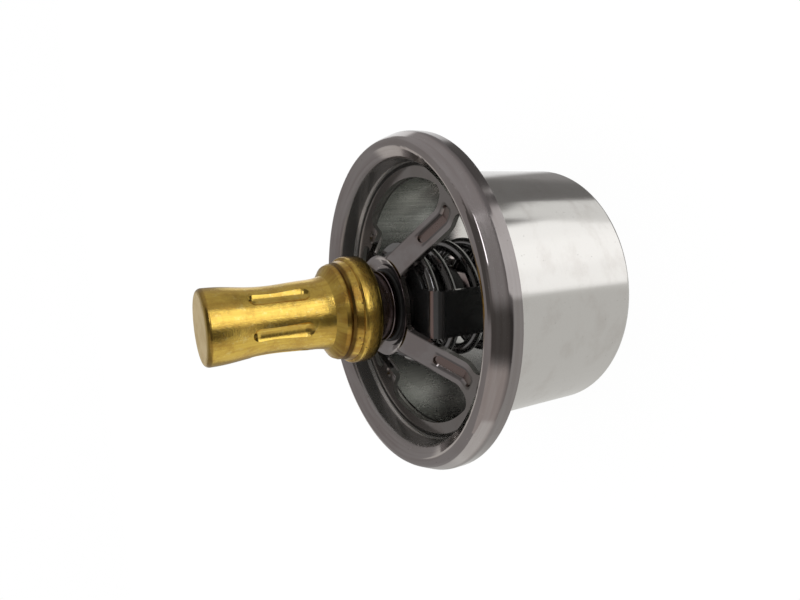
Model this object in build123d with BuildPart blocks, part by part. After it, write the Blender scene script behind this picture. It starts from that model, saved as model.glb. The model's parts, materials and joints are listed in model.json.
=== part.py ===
"""Engine thermostat of the sleeve-valve wax type, as an assembly of separate pieces.

It stands on the open end of its sleeve, with the wax capsule pointing up.
All sizes are in millimetres.  +Z is the valve's axis, and Z = 0 is the sleeve's lower end.
The sleeve, its bridge, the yoke and the piston slide down together when the wax expands.
"""
from build123d import *
from math import cos, pi, sin, tan, radians
import os

# --- driving dimensions -----------------------------------------------------------------
# Flange: drawn stainless sheet with a rolled channel rim
SHEET = 1.0
RIM_R = 33.5
RIM_BACK_Z = 33.6
RIM_WALL_Z = 35.7
RIM_FLANK_R = 32.4
RIM_FLANK_Z = 38.3
RIM_FLANK_BEND_R = 1.5
RIM_CREST_R = 31.4
RIM_CREST_Z = 39.8
RIM_CREST_BEND_R = 1.2
CUP_MOUTH_R = 28.45
CUP_MOUTH_Z = 37.45
CUP_MOUTH_BEND_R = 1.2
CUP_FLOOR_R = 27.6
CUP_CORNER_R = 0.6
LEDGE_TOP_Z = 32.3
PORT_R = 25.3

# Spider: domed pressing with four legs
RING_R = 27.0
RING_PORT_R = 24.9
DISH_R = 7.8
DISH_Z = 39.6
DISH_BEND_R = 0.6
CREST_R = 9.95
CREST_Z = 41.2
CREST_BEND_R = 1.3
HUB_R = 9.9
LEG_COUNT = 4
LEG_WIDTH = 5.8
LEG_SLOPE_DEG = 37.0
HUB_CORNER_R = 2.4
RING_CORNER_R = 2.2
RING_BEND_R = 2.0
GROOVE_IN_R = 15.7
GROOVE_OUT_R = 22.6
GROOVE_FLOOR_WIDTH = 2.0
GROOVE_DEPTH = 0.45
GROOVE_WALL_DEG = 35.0

# Sleeve: drawn tube with its lower edge turned in
SLEEVE_R = 26.0
SLEEVE_WALL = 1.0
SLEEVE_LIP_R = 23.8
SLEEVE_EDGE_R = 0.8
SEAT_GAP = 0.15

# Bridge and yoke: strap across the sleeve's lower end and strap over the spring
STRAP_ANGLE = 32.0
STRAP_WIDTH = 8.8
BRIDGE_THICK = 1.2
BRIDGE_TAB_HEIGHT = 5.0
YOKE_THICK = 0.9
YOKE_HALF_SPAN = 14.3
YOKE_TOP_Z = 37.5
YOKE_BEND_R = 2.6
YOKE_FOOT_R = 20.8
YOKE_FOOT_BEND_R = 1.0
YOKE_HOLE_R = 7.2
YOKE_DISC_R = 10.5
RIVET_R = 1.2
RIVET_HEAD_R = 2.0
RIVET_HEAD_THICK = 0.7
RIVET_PLACE_R = 17.8

# Wax element: brass capsule, guide and piston
CAPSULE_TIP_Z = 75.5
CAPSULE_TIP_R = 6.8
CAPSULE_WAIST_R = 6.15
CAPSULE_FOOT_R = 6.95
CAPSULE_FOOT_Z = 53.3
CAPSULE_EDGE_R = 0.9
CAPSULE_WALL = 1.2
COLLAR_R = 10.2
COLLAR_BACK_Z = 45.0
COLLAR_FRONT_Z = 49.1
SHOULDER_R = 8.8
SHOULDER_Z = 52.05
FLUTE_COUNT = 6
FLUTE_START_DEG = 21.0
FLUTE_LOW_Z = 57.4
FLUTE_HIGH_Z = 67.8
FLUTE_WIDTH = 2.5
FLUTE_DEPTH = 0.45
CRIMP_R = 7.6
CRIMP_HOLE_R = 7.05
CRIMP_LOW_Z = 46.8
CRIMP_HIGH_Z = 50.6
NECK_R = 6.9
NECK_LOW_Z = 41.8
GUIDE_R = 5.2
GUIDE_LOW_Z = 7.4
GUIDE_BORE_R = 2.58
GUIDE_TOP_Z = 49.2
PLUG_MOUTH_R = 4.2
PLUG_CONE_Z = 46.4
PLUG_LOW_Z = 43.6
PISTON_R = 2.5
PISTON_LOW_Z = 3.0
DISC_THICK = 0.8
NECK_WASHER_THICK = 1.2
GASKET_R = 7.3
GASKET_THICK = 0.9
TUBE_R = 6.8
TUBE_LOW_Z = 24.5

# Spring and its lower seat
WIRE_R = 1.2
COIL_R = 11.15
SPRING_LOW_Z = 10.65
SPRING_TOP_Z = 36.5
SPRING_TURNS = 5.6
SPRING_START_DEG = 14.0
END_TURNS = 0.75
RAMP_TURNS = 0.7
POINTS_PER_TURN = 16
SEAT_R = 12.6
SEAT_THICK = 1.2
CIRCLIP_R = 6.7
CIRCLIP_GROOVE_R = 4.5
CIRCLIP_THICK = 1.0

PISTON_HOLE_R = 3.6
SOCKET_FLANGE_R = 5.0
SOCKET_R = 4.0
SOCKET_TOP_Z = 4.4

FIT_GAP = 0.1

# --- places that follow from them -----------------------------------------------------------
ledge_low_z = LEDGE_TOP_Z - SHEET
sleeve_top_z = ledge_low_z - SEAT_GAP
seat_low_z = SPRING_LOW_Z - 0.05 - SEAT_THICK
circlip_low_z = seat_low_z - CIRCLIP_THICK
bridge_top_z = SLEEVE_WALL + BRIDGE_THICK
foot_top_z = bridge_top_z + YOKE_THICK
strap_plane = Plane.XZ.rotated((0, 0, STRAP_ANGLE))
ring_top_z = LEDGE_TOP_Z + SHEET
bore_gap_r = GUIDE_R + FIT_GAP


def save(part, name):
    """Label one finished piece and write it as a STEP file of its own."""
    part.label = name
    export_step(part, f"parts/{name}.step")


os.makedirs("parts", exist_ok=True)

# --- flange ------------------------------------------------------------------------------------
with BuildPart() as flange:
    with BuildSketch(Plane.XZ) as flange_section:
        with BuildLine():
            FilletPolyline(
                (RIM_R, RIM_BACK_Z),
                (RIM_R, RIM_WALL_Z),
                (RIM_FLANK_R, RIM_FLANK_Z),
                (RIM_CREST_R, RIM_CREST_Z),
                (CUP_MOUTH_R, CUP_MOUTH_Z),
                (CUP_FLOOR_R, LEDGE_TOP_Z),
                (PORT_R, LEDGE_TOP_Z),
                radius=[RIM_FLANK_BEND_R, RIM_FLANK_BEND_R, RIM_CREST_BEND_R, CUP_MOUTH_BEND_R, CUP_CORNER_R],
            )
            offset(amount=SHEET, side=Side.LEFT)
        make_face()
    revolve(axis=Axis.Z)
save(flange.part, "flange")

# --- spider ------------------------------------------------------------------------------------
leg_drop = tan(radians(LEG_SLOPE_DEG))
slope_low_r = CREST_R + (CREST_Z - ring_top_z) / leg_drop
slope_plane = Plane(
    origin=(slope_low_r, 0, ring_top_z), x_dir=(1, 0, -leg_drop), z_dir=(leg_drop, 0, 1)
)
ring_plane = Plane.XY.offset(ring_top_z)


def groove_form(depth, growth):
    """Space above a groove floor that runs down the leg and bends with it on to the flat ring."""
    high = (GROOVE_IN_R - slope_low_r) / cos(radians(LEG_SLOPE_DEG)) - growth
    low = GROOVE_OUT_R + growth
    width = GROOVE_FLOOR_WIDTH + 2 * growth
    with BuildPart(mode=Mode.PRIVATE) as form:
        with BuildSketch(slope_plane.offset(-depth)):
            with Locations(((high + LEG_WIDTH) / 2, 0)):
                SlotOverall(LEG_WIDTH - high, width)
        extrude(amount=4 * SHEET, taper=-GROOVE_WALL_DEG)
        with BuildSketch(ring_plane.offset(-depth)):
            with Locations(((low + CREST_R) / 2, 0)):
                SlotOverall(low - CREST_R, width)
        extrude(amount=CREST_Z - ring_top_z, taper=-GROOVE_WALL_DEG, mode=Mode.INTERSECT)
    return form.part


with BuildPart(mode=Mode.PRIVATE) as swelling:
    add(groove_form(GROOVE_DEPTH + SHEET, 0.4 * SHEET))
    with BuildSketch(Plane.XZ):
        with BuildLine():
            Polyline(
                (CREST_R, CREST_Z - SHEET / 2),
                (slope_low_r, ring_top_z - SHEET / 2),
                (RING_R, ring_top_z - SHEET / 2),
                (RING_R, ring_top_z - 3 * SHEET),
                (CREST_R, ring_top_z - 3 * SHEET),
                close=True,
            )
        make_face()
    extrude(amount=LEG_WIDTH, both=True, mode=Mode.INTERSECT)
with BuildPart() as spider:
    # one formed sheet: dished hub, crest, cone and flat ring
    with BuildSketch(Plane.XZ):
        with BuildLine():
            FilletPolyline(
                (bore_gap_r, DISH_Z),
                (DISH_R, DISH_Z),
                (CREST_R, CREST_Z),
                (slope_low_r, ring_top_z),
                (RING_R, ring_top_z),
                radius=[DISH_BEND_R, CREST_BEND_R, RING_BEND_R],
            )
            offset(amount=SHEET, side=Side.RIGHT)
        make_face()
    revolve(axis=Axis.Z)
    # windows between the legs, with rounded corners at the hub and at the ring
    with BuildSketch(Plane.XY.offset(LEDGE_TOP_Z - SHEET)) as windows:
        Circle(RING_PORT_R)
        Circle(HUB_R, mode=Mode.SUBTRACT)
        with PolarLocations(0, LEG_COUNT // 2, angular_range=180):
            Rectangle(2 * RING_R, LEG_WIDTH, mode=Mode.SUBTRACT)
        corners = windows.vertices().sort_by(lambda v: v.center().length)
        fillet(corners[: 2 * LEG_COUNT], HUB_CORNER_R)
        corners = windows.vertices().sort_by(lambda v: v.center().length)
        fillet(corners[-2 * LEG_COUNT:], RING_CORNER_R)
    extrude(amount=CREST_Z, mode=Mode.SUBTRACT)
    # pressed grooves: a swelling below and the same form sunk from above
    with PolarLocations(0, LEG_COUNT):
        add(swelling.part)
    with PolarLocations(0, LEG_COUNT):
        add(groove_form(GROOVE_DEPTH, 0), mode=Mode.SUBTRACT)
save(spider.part, "spider")

# --- sleeve ------------------------------------------------------------------------------------
with BuildPart() as sleeve:
    with BuildSketch(Plane.XZ):
        with BuildLine():
            FilletPolyline(
                (SLEEVE_R, sleeve_top_z),
                (SLEEVE_R, 0),
                (SLEEVE_LIP_R, 0),
                radius=[SLEEVE_EDGE_R],
            )
            offset(amount=SLEEVE_WALL, side=Side.RIGHT)
        make_face()
    revolve(axis=Axis.Z)
save(sleeve.part, "sleeve")

# --- bridge across the sleeve's lower end, with its ends turned up along the wall ----------------
tab_out_r = SLEEVE_R - SLEEVE_WALL - FIT_GAP
across = Location((0, 0, 0), (0, 0, STRAP_ANGLE))
with BuildPart() as sleeve_bridge:
    with BuildSketch(Plane.XY.offset(SLEEVE_WALL)):
        Circle(tab_out_r)
        with Locations(across):
            Rectangle(2 * SLEEVE_R, STRAP_WIDTH, mode=Mode.INTERSECT)
    extrude(amount=BRIDGE_THICK + BRIDGE_TAB_HEIGHT)
    with BuildSketch(Plane.XY.offset(bridge_top_z)):
        Circle(tab_out_r - BRIDGE_THICK)
    extrude(amount=BRIDGE_TAB_HEIGHT, mode=Mode.SUBTRACT)
    with BuildSketch(Plane.XY):
        Circle(PISTON_HOLE_R)
        with Locations(across):
            with PolarLocations(RIVET_PLACE_R, 2):
                Circle(RIVET_R + FIT_GAP / 2)
    extrude(amount=bridge_top_z, mode=Mode.SUBTRACT)
save(sleeve_bridge.part, "sleeve_bridge")

# --- yoke: strap bent over the top of the spring -------------------------------------------------
with BuildPart() as yoke:
    with BuildSketch(strap_plane):
        with BuildLine():
            FilletPolyline(
                (YOKE_FOOT_R, foot_top_z),
                (YOKE_HALF_SPAN, foot_top_z),
                (YOKE_HALF_SPAN, YOKE_TOP_Z),
                (-YOKE_HALF_SPAN, YOKE_TOP_Z),
                (-YOKE_HALF_SPAN, foot_top_z),
                (-YOKE_FOOT_R, foot_top_z),
                radius=[YOKE_FOOT_BEND_R, YOKE_BEND_R, YOKE_BEND_R, YOKE_FOOT_BEND_R],
            )
            offset(amount=YOKE_THICK, side=Side.LEFT)
        make_face()
    extrude(amount=STRAP_WIDTH / 2, both=True)
    # round disc that bears on the spring, open round the lock tube
    with BuildSketch(Plane.XY.offset(YOKE_TOP_Z)):
        Circle(YOKE_DISC_R)
    extrude(amount=-YOKE_THICK)
    with BuildSketch(Plane.XY.offset(YOKE_TOP_Z)):
        Circle(YOKE_HOLE_R)
    extrude(amount=-YOKE_THICK, mode=Mode.SUBTRACT)
    with BuildSketch(Plane.XY.offset(bridge_top_z)):
        with Locations(across):
            with PolarLocations(RIVET_PLACE_R, 2):
                Circle(RIVET_R + FIT_GAP / 2)
    extrude(amount=YOKE_THICK, mode=Mode.SUBTRACT)
save(yoke.part, "yoke")

# --- rivets through the yoke's feet and the bridge ------------------------------------------------
with BuildPart() as yoke_rivets:
    with BuildSketch(Plane.XY.offset(SLEEVE_WALL - RIVET_HEAD_THICK)):
        with Locations(across):
            with PolarLocations(RIVET_PLACE_R, 2):
                Circle(RIVET_HEAD_R)
    extrude(amount=RIVET_HEAD_THICK)
    with BuildSketch(Plane.XY.offset(SLEEVE_WALL)):
        with Locations(across):
            with PolarLocations(RIVET_PLACE_R, 2):
                Circle(RIVET_R)
    extrude(amount=BRIDGE_THICK + YOKE_THICK)
    with BuildSketch(Plane.XY.offset(foot_top_z)):
        with Locations(across):
            with PolarLocations(RIVET_PLACE_R, 2):
                Circle(RIVET_HEAD_R)
    extrude(amount=RIVET_HEAD_THICK)
    rims = yoke_rivets.edges().filter_by(GeomType.CIRCLE)
    fillet(rims.group_by(Axis.Z)[0] + rims.group_by(Axis.Z)[-1], RIVET_HEAD_THICK / 2)
save(yoke_rivets.part, "yoke_rivets")

# --- piston, the cup it pushes on, and the disc on its top ----------------------------------------
piston_top_z = PLUG_LOW_Z - 0.05 - DISC_THICK
with BuildPart() as piston:
    with BuildSketch(Plane.XY.offset(PISTON_LOW_Z)):
        Circle(PISTON_R)
    extrude(amount=piston_top_z - PISTON_LOW_Z)
    chamfer(piston.edges().filter_by(GeomType.CIRCLE).group_by(Axis.Z)[0], 0.6)
save(piston.part, "piston")

with BuildPart() as antichafe_disc:
    with BuildSketch(Plane.XY.offset(piston_top_z)):
        Circle(PISTON_R)
    extrude(amount=DISC_THICK)
save(antichafe_disc.part, "antichafe_disc")

with BuildPart() as piston_socket:
    with BuildSketch(Plane.XZ):
        with BuildLine():
            Polyline(
                (0, SLEEVE_WALL),
                (PISTON_HOLE_R - FIT_GAP, SLEEVE_WALL),
                (PISTON_HOLE_R - FIT_GAP, bridge_top_z),
                (SOCKET_FLANGE_R, bridge_top_z),
                (SOCKET_FLANGE_R, bridge_top_z + 0.8),
                (SOCKET_R, bridge_top_z + 0.8),
                (SOCKET_R, SOCKET_TOP_Z),
                (PISTON_R + FIT_GAP, SOCKET_TOP_Z),
                (PISTON_R + FIT_GAP, PISTON_LOW_Z),
                (0, PISTON_LOW_Z),
                close=True,
            )
        make_face()
    revolve(axis=Axis.Z)
save(piston_socket.part, "piston_socket")

# --- guide: flanged tube that carries the capsule, the spider and the spring ----------------------
with BuildPart() as guide:
    with BuildSketch(Plane.XZ):
        with BuildLine():
            Polyline(
                (GUIDE_BORE_R, GUIDE_LOW_Z),
                (GUIDE_R, GUIDE_LOW_Z),
                (GUIDE_R, circlip_low_z),
                (CIRCLIP_GROOVE_R, circlip_low_z),
                (CIRCLIP_GROOVE_R, seat_low_z),
                (GUIDE_R, seat_low_z),
                (GUIDE_R, NECK_LOW_Z),
                (NECK_R, NECK_LOW_Z),
                (NECK_R, CRIMP_LOW_Z),
                (CRIMP_R - FIT_GAP, CRIMP_LOW_Z),
                (CRIMP_R - FIT_GAP, GUIDE_TOP_Z),
                (PLUG_MOUTH_R, GUIDE_TOP_Z),
                (GUIDE_BORE_R, PLUG_CONE_Z),
                close=True,
            )
        make_face()
    revolve(axis=Axis.Z)
    chamfer(guide.edges().filter_by(GeomType.CIRCLE).group_by(Axis.Z)[0].sort_by(SortBy.RADIUS)[-1], 0.5)
save(guide.part, "guide")

# --- rings on the neck: steel washer on a soft gasket over the hub --------------------------------
with BuildPart() as hub_gasket:
    with BuildSketch(Plane.XY.offset(DISH_Z)):
        Circle(GASKET_R)
        Circle(bore_gap_r, mode=Mode.SUBTRACT)
    extrude(amount=GASKET_THICK)
    top_rim = hub_gasket.edges().filter_by(GeomType.CIRCLE).group_by(Axis.Z)[-1].sort_by(SortBy.RADIUS)[-1]
    fillet(top_rim, GASKET_THICK * 0.6)
save(hub_gasket.part, "hub_gasket")

neck_washer_low_z = DISH_Z + GASKET_THICK
with BuildPart() as neck_washer:
    with BuildSketch(Plane.XY.offset(neck_washer_low_z)):
        Circle(NECK_R)
        Circle(bore_gap_r, mode=Mode.SUBTRACT)
    extrude(amount=NECK_WASHER_THICK)
    outer_rims = neck_washer.edges().filter_by(GeomType.CIRCLE).filter_by(
        lambda e: e.radius > NECK_R - 0.01
    )
    fillet(outer_rims, 0.3)
save(neck_washer.part, "neck_washer")

# --- lock tube: clamps the spider's hub from below and guides the yoke ----------------------------
with BuildPart() as lock_tube:
    with BuildSketch(Plane.XY.offset(TUBE_LOW_Z)):
        Circle(TUBE_R)
        Circle(bore_gap_r, mode=Mode.SUBTRACT)
    extrude(amount=DISH_Z - SHEET - TUBE_LOW_Z)
    low_rim = lock_tube.edges().filter_by(GeomType.CIRCLE).group_by(Axis.Z)[0].sort_by(SortBy.RADIUS)[-1]
    chamfer(low_rim, 0.6)
save(lock_tube.part, "lock_tube")

# --- brass capsule with its crimped collar ---------------------------------------------------------
capsule_bore_r = CAPSULE_WAIST_R - FLUTE_DEPTH - 0.75
with BuildPart() as wax_cup:
    with BuildSketch(Plane.XZ):
        with BuildLine():
            Line((0, CAPSULE_TIP_Z), (CAPSULE_TIP_R - CAPSULE_EDGE_R, CAPSULE_TIP_Z))
            RadiusArc(
                (CAPSULE_TIP_R - CAPSULE_EDGE_R, CAPSULE_TIP_Z),
                (CAPSULE_TIP_R, CAPSULE_TIP_Z - CAPSULE_EDGE_R),
                CAPSULE_EDGE_R,
            )
            Spline(
                (CAPSULE_TIP_R, CAPSULE_TIP_Z - CAPSULE_EDGE_R),
                (CAPSULE_TIP_R - 0.05, 72.4),
                (CAPSULE_WAIST_R + 0.05, 66.8),
                (CAPSULE_WAIST_R, 62.5),
                (CAPSULE_WAIST_R + 0.3, 57.8),
                (CAPSULE_FOOT_R, CAPSULE_FOOT_Z),
                tangents=[(0, -1), (0.3, -1)],
            )
            Polyline(
                (CAPSULE_FOOT_R, CAPSULE_FOOT_Z),
                (SHOULDER_R, SHOULDER_Z),
                (SHOULDER_R + 0.3, SHOULDER_Z - 0.7),
                (SHOULDER_R + 0.1, SHOULDER_Z - 1.2),
                (SHOULDER_R + 0.5, SHOULDER_Z - 1.6),
                (COLLAR_R - 0.6, COLLAR_FRONT_Z),
            )
            Spline(
                (COLLAR_R - 0.6, COLLAR_FRONT_Z),
                (COLLAR_R, COLLAR_FRONT_Z - 0.8),
                (COLLAR_R, 46.6),
                (COLLAR_R - 1.2, COLLAR_BACK_Z),
                tangents=[(1, 0), (-1, -0.3)],
            )
            Polyline(
                (COLLAR_R - 1.2, COLLAR_BACK_Z),
                (CRIMP_HOLE_R, COLLAR_BACK_Z),
                (CRIMP_HOLE_R, CRIMP_LOW_Z),
                (CRIMP_R, CRIMP_LOW_Z),
                (CRIMP_R, CRIMP_HIGH_Z),
                (capsule_bore_r, CRIMP_HIGH_Z),
                (capsule_bore_r, CAPSULE_TIP_Z - CAPSULE_WALL),
                (0, CAPSULE_TIP_Z - CAPSULE_WALL),
                (0, CAPSULE_TIP_Z),
            )
        make_face()
    revolve(axis=Axis.Z)
    # pressed flutes with rounded ends
    flute_r = FLUTE_WIDTH**2 / (8 * FLUTE_DEPTH) + FLUTE_DEPTH / 2
    flute_axis_r = CAPSULE_WAIST_R - FLUTE_DEPTH + flute_r
    flute_run = FLUTE_HIGH_Z - FLUTE_LOW_Z - FLUTE_WIDTH
    flute_mid_z = (FLUTE_LOW_Z + FLUTE_HIGH_Z) / 2
    with BuildSketch(Plane.XY.offset(flute_mid_z)):
        with PolarLocations(flute_axis_r, FLUTE_COUNT, start_angle=FLUTE_START_DEG):
            Circle(flute_r)
    extrude(amount=flute_run / 2, both=True, mode=Mode.SUBTRACT)
    with PolarLocations(flute_axis_r, FLUTE_COUNT, start_angle=FLUTE_START_DEG):
        with Locations((0, 0, flute_mid_z - flute_run / 2), (0, 0, flute_mid_z + flute_run / 2)):
            Sphere(flute_r, mode=Mode.SUBTRACT)
save(wax_cup.part, "wax_cup")

# --- what the capsule holds ------------------------------------------------------------------------
with BuildPart() as wax_charge:
    with BuildSketch(Plane.XY.offset(CRIMP_HIGH_Z)):
        Circle(capsule_bore_r - FIT_GAP)
    extrude(amount=CAPSULE_TIP_Z - CAPSULE_WALL - FIT_GAP - CRIMP_HIGH_Z)
save(wax_charge.part, "wax_charge")

with BuildPart() as diaphragm:
    with BuildSketch(Plane.XY.offset(GUIDE_TOP_Z)):
        Circle(CRIMP_R - FIT_GAP)
    extrude(amount=CRIMP_HIGH_Z - GUIDE_TOP_Z)
save(diaphragm.part, "diaphragm")

with BuildPart() as rubber_plug:
    with BuildSketch(Plane.XZ):
        with BuildLine():
            Polyline(
                (0, GUIDE_TOP_Z),
                (PLUG_MOUTH_R - 2 * FIT_GAP, GUIDE_TOP_Z),
                (PISTON_R, PLUG_CONE_Z + FIT_GAP / 2),
                (PISTON_R, PLUG_LOW_Z),
                (0, PLUG_LOW_Z),
                close=True,
            )
        make_face()
    revolve(axis=Axis.Z)
save(rubber_plug.part, "rubber_plug")

# --- spring with closed and ground ends -------------------------------------------------------------
def coil_height(turn):
    """Height of the wire's centre above the first coil, as a share of the active pitch.

    The pitch is one wire thick over the closed ends and grows smoothly to the active pitch.
    """
    def ramp(x):
        x = min(max(x, 0.0), RAMP_TURNS)
        return x * x / (2 * RAMP_TURNS)
    rising = turn - END_TURNS
    falling = turn - (SPRING_TURNS - END_TURNS - RAMP_TURNS)
    grown = ramp(rising) + max(rising - RAMP_TURNS, 0.0)
    lost = ramp(falling) + max(falling - RAMP_TURNS, 0.0)
    return grown - lost


closed_pitch = 2 * WIRE_R + 0.05
spring_rise = SPRING_TOP_Z - SPRING_LOW_Z
active_extra = (spring_rise - closed_pitch * SPRING_TURNS) / coil_height(SPRING_TURNS)
wire_points = []
for step in range(round(SPRING_TURNS * POINTS_PER_TURN) + 1):
    turn = step / POINTS_PER_TURN
    angle = radians(SPRING_START_DEG) + 2 * pi * turn
    wire_points.append((
        COIL_R * cos(angle),
        COIL_R * sin(angle),
        SPRING_LOW_Z + closed_pitch * turn + active_extra * coil_height(turn),
    ))
with BuildPart() as spring:
    with BuildLine() as wire:
        Spline(*wire_points)
    with BuildSketch(Plane(origin=wire.line @ 0, z_dir=wire.line % 0)):
        Circle(WIRE_R)
    sweep(path=wire.line, is_frenet=True)
    # grind both ends flat
    with BuildSketch(Plane.XY.offset(SPRING_TOP_Z)):
        Circle(2 * COIL_R)
    extrude(amount=3 * WIRE_R, mode=Mode.SUBTRACT)
    with BuildSketch(Plane.XY.offset(SPRING_LOW_Z)):
        Circle(2 * COIL_R)
    extrude(amount=-3 * WIRE_R, mode=Mode.SUBTRACT)
save(spring.part, "spring")

# --- lower spring seat and its circlip ---------------------------------------------------------------
with BuildPart() as spring_seat:
    with BuildSketch(Plane.XY.offset(seat_low_z)):
        Circle(SEAT_R)
        Circle(bore_gap_r, mode=Mode.SUBTRACT)
    extrude(amount=SEAT_THICK)
    outer_rims = spring_seat.edges().filter_by(GeomType.CIRCLE).filter_by(
        lambda e: e.radius > SEAT_R - 0.01
    )
    fillet(outer_rims, 0.4)
save(spring_seat.part, "spring_seat")

with BuildPart() as seat_circlip:
    with BuildSketch(Plane.XY.offset(circlip_low_z + 0.05)):
        Circle(CIRCLIP_R)
        Circle(CIRCLIP_GROOVE_R + FIT_GAP, mode=Mode.SUBTRACT)
        with Locations((CIRCLIP_R, 0)):
            Rectangle(CIRCLIP_R, 3.0, mode=Mode.SUBTRACT)
    extrude(amount=CIRCLIP_THICK - 0.1)
save(seat_circlip.part, "seat_circlip")
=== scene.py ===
"""Studio scene of an engine thermostat of the sleeve-valve wax type.

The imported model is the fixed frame.  It stands on the open end of its sleeve with the capsule up,
and the camera is rolled so that the capsule points to the left.
"""
import json
import logging
import math
from dataclasses import dataclass
from enum import Enum
from typing import Any, Sequence

import bmesh
import bpy
from mathutils import Matrix, Vector


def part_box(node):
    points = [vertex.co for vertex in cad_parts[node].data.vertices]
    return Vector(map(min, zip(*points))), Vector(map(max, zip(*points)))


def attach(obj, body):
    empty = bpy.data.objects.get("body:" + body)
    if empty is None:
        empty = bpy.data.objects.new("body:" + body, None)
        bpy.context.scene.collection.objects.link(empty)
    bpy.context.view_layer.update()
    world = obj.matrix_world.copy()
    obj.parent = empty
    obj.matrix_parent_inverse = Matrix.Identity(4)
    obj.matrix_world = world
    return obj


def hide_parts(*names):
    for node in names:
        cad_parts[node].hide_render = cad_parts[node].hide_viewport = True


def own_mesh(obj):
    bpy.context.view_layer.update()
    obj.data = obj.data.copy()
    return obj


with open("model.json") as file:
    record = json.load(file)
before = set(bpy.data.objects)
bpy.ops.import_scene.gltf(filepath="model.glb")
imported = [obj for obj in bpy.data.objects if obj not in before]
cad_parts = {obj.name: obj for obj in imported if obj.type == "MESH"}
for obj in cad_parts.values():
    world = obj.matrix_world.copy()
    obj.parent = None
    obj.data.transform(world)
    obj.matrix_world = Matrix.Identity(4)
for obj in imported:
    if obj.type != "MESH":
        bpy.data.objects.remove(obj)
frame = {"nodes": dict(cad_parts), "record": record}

LOG = logging.getLogger("thermostat")
MM = 0.001
TAU = 2 * math.pi
Triple = tuple[float, float, float]
RGB = Triple


# --- shader expressions ---------------------------------------------------------------------
class Signal:
    """A shader socket that can be used in Python expressions."""

    def __init__(self, board: "Board", socket: bpy.types.NodeSocket) -> None:
        """Keep the socket and the board that its nodes stand on.

        Args:
            board: The node tree that further nodes are added to.
            socket: The output socket that carries the value.
        """
        self.board = board
        self.socket = socket

    def math(self, operation: str, *others: "Signal | float") -> "Signal":
        """Return the result of a Math node with this value first."""
        return self.board.math(operation, self, *others)

    def __add__(self, other: "Signal | float") -> "Signal":
        """Return self + other."""
        return self.math("ADD", other)

    def __radd__(self, other: "Signal | float") -> "Signal":
        """Return other + self."""
        return self.board.math("ADD", other, self)

    def __sub__(self, other: "Signal | float") -> "Signal":
        """Return self - other."""
        return self.math("SUBTRACT", other)

    def __rsub__(self, other: "Signal | float") -> "Signal":
        """Return other - self."""
        return self.board.math("SUBTRACT", other, self)

    def __mul__(self, other: "Signal | float") -> "Signal":
        """Return self * other."""
        return self.math("MULTIPLY", other)

    def __rmul__(self, other: "Signal | float") -> "Signal":
        """Return other * self."""
        return self.board.math("MULTIPLY", other, self)

    def __truediv__(self, other: "Signal | float") -> "Signal":
        """Return self / other."""
        return self.math("DIVIDE", other)

    def __rtruediv__(self, other: "Signal | float") -> "Signal":
        """Return other / self."""
        return self.board.math("DIVIDE", other, self)

    def __abs__(self) -> "Signal":
        """Return abs(self)."""
        return self.math("ABSOLUTE")

    def ramp(self, start: float, end: float) -> "Signal":
        """Pass smoothly from 0 to 1.

        Args:
            start: The value up to which the result is 0.
            end: The value from which it is 1. It may lie below start, and then the result
                falls as this value grows.

        Returns:
            The ramp's result.
        """
        at_low, at_high = (0.0, 1.0) if start < end else (1.0, 0.0)
        value, from_low, from_high, to_low, to_high = range(5)
        node = self.board.node(
            "ShaderNodeMapRange",
            {"interpolation_type": "SMOOTHSTEP", "clamp": True},
            {
                value: self,
                from_low: min(start, end),
                from_high: max(start, end),
                to_low: at_low,
                to_high: at_high,
            },
        )
        return Signal(self.board, node.outputs[0])

    def band(self, middle: float, half_width: float, soft: float) -> "Signal":
        """Return 1 within half_width of middle, falling to 0 over soft beyond it."""
        return abs(self - middle).ramp(half_width + soft, half_width)


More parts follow.
